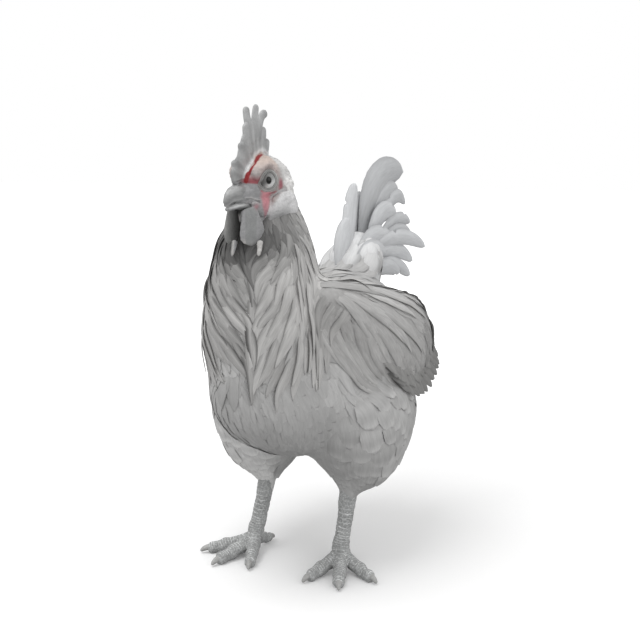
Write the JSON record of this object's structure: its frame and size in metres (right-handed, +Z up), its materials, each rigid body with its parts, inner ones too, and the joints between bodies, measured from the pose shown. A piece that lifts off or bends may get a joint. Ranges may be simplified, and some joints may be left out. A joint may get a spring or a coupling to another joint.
{
  "type": "chicken",
  "caption": "Standing life-size hen with a serrated upright comb, wattles, long neck hackles, folded wings and a short fanned tail, as a still figure.",
  "frame": {"origin": "on the floor, in the middle of the bird's footprint box", "axes": "+Z up, the bird faces -Y and its left side is +X"},
  "size_m": [0.198, 0.361, 0.4376],
  "materials": {
    "plumage": "soft feathers",
    "wing": "feathers",
    "tail": "feathers",
    "comb": "pebbled skin",
    "beak": "smooth horn",
    "face": "bare skin with fine feathers",
    "lobe": "bare skin",
    "eye": "wet and glossy",
    "leg": "horny scales",
    "claw": "smooth horn"
  },
  "bodies": {
    "root": {"head": "face", "beak_upper": "beak", "beak_lower": "beak", "comb": "comb", "eye_left": "eye", "ear_lobe_left": "lobe", "wattle_left": "comb", "eye_right": "eye", "ear_lobe_right": "lobe", "wattle_right": "comb", "neck": "plumage", "wing_left": "wing", "flight_feathers_left": "wing", "wing_right": "wing", "flight_feathers_right": "wing", "tail_left": "tail", "tail_right": "tail", "trunk": "plumage", "thigh_left": "plumage", "shank_left": "leg", "toe_inner_left": "leg", "claw_inner_left": "claw", "toe_middle_left": "leg", "claw_middle_left": "claw", "toe_outer_left": "leg", "claw_outer_left": "claw", "toe_hind_left": "leg", "claw_hind_left": "claw", "thigh_right": "plumage", "shank_right": "leg", "toe_inner_right": "leg", "claw_inner_right": "claw", "toe_middle_right": "leg", "claw_middle_right": "claw", "toe_outer_right": "leg", "claw_outer_right": "claw", "toe_hind_right": "leg", "claw_hind_right": "claw"}
  },
  "joints": []
}
